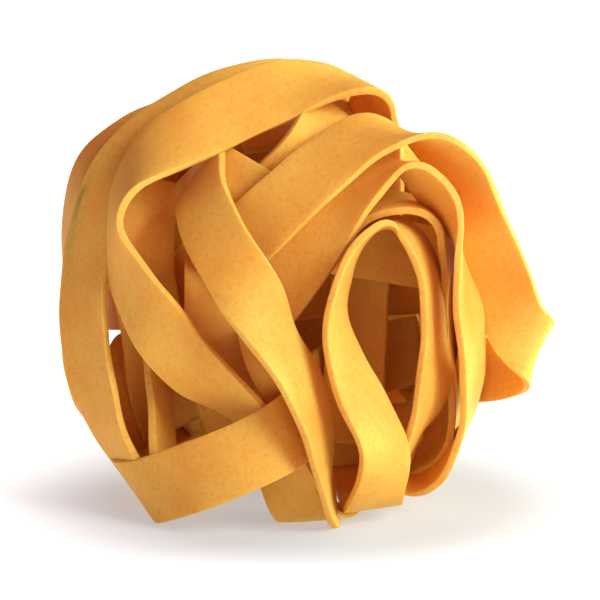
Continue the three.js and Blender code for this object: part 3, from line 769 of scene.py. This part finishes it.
# A layer covers nothing below "from" in its noise, and its most above "to".
pasta = {
    "straw": (0.92, 0.54, 0.1, 1),          # the usual egg-yellow of the dough
    "ochre": (0.85, 0.4, 0.058, 1),         # where the dough dried darker
    "flour": (0.94, 0.58, 0.17, 1),         # dusting and cut edges
    "husk": (0.72, 0.3, 0.03, 1),           # fine darker flecks of the milled grain
    "cloud": {"scale": 95.0, "detail": 4.0, "roughness": 0.55, "from": 0.32, "to": 0.7, "most": 1.0},
    "streak": {"scale": 1.0, "detail": 2.0, "roughness": 0.5, "from": 0.3, "to": 0.75, "most": 0.22},
    "speck": {"scale": 1900.0, "detail": 1.0, "roughness": 0.5, "from": 0.62, "to": 0.76, "most": 0.4},
    "fleck": {"scale": 1500.0, "detail": 3.0, "roughness": 0.65, "from": 0.5, "to": 0.7, "most": 0.4},
    "streakStretch": (7.0, 90.0, 1.0),      # along the ribbon, and round it
    "edgePale": 0.15,
    "grain": 0.3,
    "grainScale": 2600.0,
    "grainDepth": 0.0002,                   # metres
    "roughness": 0.6,
    "gloss": 0.22,
    "subsurface": 0.5,
    "scatter": (1.0, 0.55, 0.2),            # how far red, green and blue travel, in depths
    "depth": 0.0022,                        # metres that light travels in the dough
}


# How much a layer covers: its noise, stretched from its own range to nothing to most.
def noiseShare(tree, where, layer):
    noise = addNode(tree, "ShaderNodeTexNoise", {"Vector": where, "Scale": layer["scale"],
                                                 "Detail": layer["detail"],
                                                 "Roughness": layer["roughness"]})
    share = addNode(tree, "ShaderNodeMapRange", {"Value": noise.outputs["Fac"],
                                                 "From Min": layer["from"], "From Max": layer["to"],
                                                 "To Max": layer["most"]})
    return share.outputs["Result"]


# One colour laid over another: under * (1 - share) + over * share.
def blended(tree, share, under, over):
    mix = addNode(tree, "ShaderNodeMix", {"Factor": share, "A": under, "B": over}, data_type="RGBA")
    return mix.outputs["Result"]


# Dried egg dough: cloudy tone, faint streaks along the ribbon, paler cut edges, specks
# of semolina, darker flecks, and a fine matt grain.
def driedPasta():
    material = bpy.data.materials.new("driedPasta")
    material.use_nodes = True
    tree = material.node_tree
    tree.nodes.clear()
    place = addNode(tree, "ShaderNodeTexCoord")
    solid = place.outputs["Object"]
    colour = blended(tree, noiseShare(tree, solid, pasta["cloud"]), pasta["straw"], pasta["ochre"])
    stretch = addNode(tree, "ShaderNodeMapping", {"Vector": place.outputs["UV"],
                                                  "Scale": pasta["streakStretch"]})
    streaks = noiseShare(tree, stretch.outputs["Vector"], pasta["streak"])
    colour = blended(tree, streaks, colour, pasta["flour"])
    edge = addNode(tree, "ShaderNodeAttribute", attribute_name="cutEdge")
    pale = addNode(tree, "ShaderNodeMath", {0: edge.outputs["Fac"], 1: pasta["edgePale"]},
                   operation="MULTIPLY")
    colour = blended(tree, pale.outputs["Value"], colour, pasta["flour"])
    colour = blended(tree, noiseShare(tree, solid, pasta["speck"]), colour, pasta["flour"])
    colour = blended(tree, noiseShare(tree, solid, pasta["fleck"]), colour, pasta["husk"])
    grain = addNode(tree, "ShaderNodeTexNoise", {"Vector": solid, "Scale": pasta["grainScale"],
                                                 "Detail": 3.0, "Roughness": 0.6})
    bump = addNode(tree, "ShaderNodeBump", {"Height": grain.outputs["Fac"], "Strength": pasta["grain"],
                                            "Distance": pasta["grainDepth"]})
    shader = addNode(tree, "ShaderNodeBsdfPrincipled", {
        "Base Color": colour, "Roughness": pasta["roughness"],
        "Subsurface Weight": pasta["subsurface"], "Subsurface Radius": pasta["scatter"],
        "Subsurface Scale": pasta["depth"], "Specular IOR Level": pasta["gloss"],
        "Normal": bump.outputs["Normal"]})
    output = addNode(tree, "ShaderNodeOutputMaterial")
    tree.links.new(shader.outputs["BSDF"], output.inputs["Surface"])
    return material


dough = driedPasta()
for pieceName, members in pieceMembers.items():
    piece = ribbonMesh(pieceName, [wound[member] for member in members], shift)
    piece.data.materials.append(dough)
    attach(piece, "root")
    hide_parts("nest")
    print(pieceName, len(piece.data.polygons), "faces")


# Floor, lights and camera. Lengths are metres, but the camera's are millimetres.
studio = {
    "floorSize": 3.0,
    "floorColour": (0.35, 0.35, 0.35, 1),
    "floorRoughness": 0.9,
    "floorGloss": 0.1,
    # The floor's glow is dim under the nest, a painted shadow, and evenly bright round it.
    "glowAndPaintedShadow": (0.45, 0.95),                   # under the nest, and round it
    "glowReach": (0.025, 0.052),            # metres from the middle of the nest
    "lampSize": 0.5,
    "lampDistance": 1.0,
    "lampAimDepth": 10,                     # millimetres behind the face of the nest
    "lamps": {                              # x, y, z that it shines from, watts, colour
        "front": ((0.17, -0.97, 0.17), 0.2, (1, 0.9, 0.8)),
        "key": ((0.66, -0.56, 0.5), 9.8, (0.87, 1, 1)),
        "behindRight": ((0.87, 0.39, 0.29), 9.5, (0.8, 1, 0.75)),
    },
    "skyForLight": 0.3,
    "skyColour": (1, 0.5, 0.7, 1),
    "backdrop": (1, 1, 1, 1),
    "cameraDistance": 800.0,
    "pictureMiddle": (-0.857, 32.857),
    "pixelsAcross": 600,
    "pixelsPerMillimetre": 7.0,
    "sensorWidth": 36,
    "clipStart": 0.05,                      # metres
    "gamma": 0.9,
}


# A point given in the face of the nest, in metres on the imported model.
def placed(point):
    return (leaned(np.array(point, float)) + shift) * millimetre


# A white sheet that glows, as on a light table. The glow eases from dim to bright by
# the distance from the middle of the nest. That dimming is a painted shadow, the soft
# shadow that is seen: the glow hides the shadows that the lamps cast.
def paleFloor():
    half = studio["floorSize"] / 2
    corners = [(-half, -half, 0), (half, -half, 0), (half, half, 0), (-half, half, 0)]
    mesh = bpy.data.meshes.new("floor")
    mesh.from_pydata(corners, [], [(0, 1, 2, 3)])
    floor = newObject("floor", mesh)
    material = bpy.data.materials.new("paleFloor")
    material.use_nodes = True
    tree = material.node_tree
    place = addNode(tree, "ShaderNodeTexCoord")
    away = addNode(tree, "ShaderNodeVectorMath", {0: place.outputs["Object"]}, operation="LENGTH")
    near, far = studio["glowReach"]
    paintedShadowGlow, bright = studio["glowAndPaintedShadow"]
    # The dim glow near the middle is a painted shadow round the foot of the nest.
    glowAndPaintedShadow = addNode(tree, "ShaderNodeMapRange", {"Value": away.outputs["Value"], "From Min": near,
                                                "From Max": far, "To Min": paintedShadowGlow, "To Max": bright},
                   interpolation_type="SMOOTHSTEP")
    shader = tree.nodes["Principled BSDF"]
    shader.inputs["Base Color"].default_value = studio["floorColour"]
    shader.inputs["Roughness"].default_value = studio["floorRoughness"]
    shader.inputs["Specular IOR Level"].default_value = studio["floorGloss"]
    shader.inputs["Emission Color"].default_value = (1, 1, 1, 1)
    tree.links.new(glowAndPaintedShadow.outputs["Result"], shader.inputs["Emission Strength"])
    mesh.materials.append(material)


# A round lamp that faces the nest: it stands at the aim plus its direction times the
# distance of the lamps.
def softLight(name, towards, power, colour):
    aim = placed((*studio["pictureMiddle"], studio["lampAimDepth"]))
    spot = aim + unit(np.array(towards)) * studio["lampDistance"]
    lamp = bpy.data.lights.new(name, "AREA")
    lamp.shape = "DISK"
    lamp.size = studio["lampSize"]
    lamp.energy = power
    lamp.color = colour
    light = newObject(name, lamp)
    light.location = spot
    light.rotation_euler = Vector(aim - spot).to_track_quat("-Z", "Y").to_euler()


# White to look at, but dim and pinkish as a light, so that the hollows stay deep.
def whiteRoom():
    world = bpy.data.worlds.new("whiteRoom")
    bpy.context.scene.world = world
    world.use_nodes = True
    tree = world.node_tree
    tree.nodes.clear()
    seen = addNode(tree, "ShaderNodeLightPath")
    asLight = addNode(tree, "ShaderNodeBackground", {"Color": studio["skyColour"],
                                                     "Strength": studio["skyForLight"]})
    asBackdrop = addNode(tree, "ShaderNodeBackground", {"Color": studio["backdrop"], "Strength": 1.0})
    pick = addNode(tree, "ShaderNodeMixShader", {0: seen.outputs["Is Camera Ray"]})
    tree.links.new(asLight.outputs["Background"], pick.inputs[1])
    tree.links.new(asBackdrop.outputs["Background"], pick.inputs[2])
    output = addNode(tree, "ShaderNodeOutputWorld")
    tree.links.new(pick.outputs["Shader"], output.inputs["Surface"])


# The camera looks square at the face of the nest. Its lens is the sensor's width times
# the distance over the width that it sees.
def frontCamera():
    across, up = studio["pictureMiddle"]
    spot = placed((across, up, -studio["cameraDistance"]))
    aim = placed((across, up, 0))
    data = bpy.data.cameras.new("front")
    data.sensor_width = studio["sensorWidth"]
    seenAcross = studio["pixelsAcross"] / studio["pixelsPerMillimetre"]
    data.lens = data.sensor_width * studio["cameraDistance"] / seenAcross
    data.clip_start = studio["clipStart"]
    camera = newObject("front", data)
    camera.location = spot
    camera.rotation_euler = Vector(aim - spot).to_track_quat("-Z", "Y").to_euler()
    bpy.context.scene.camera = camera


paleFloor()
for lampName, lampSettings in studio["lamps"].items():
    softLight(lampName, *lampSettings)
whiteRoom()
frontCamera()
bpy.context.scene.view_settings.view_transform = "Standard"
bpy.context.scene.view_settings.gamma = studio["gamma"]
print("floor, light and camera placed")
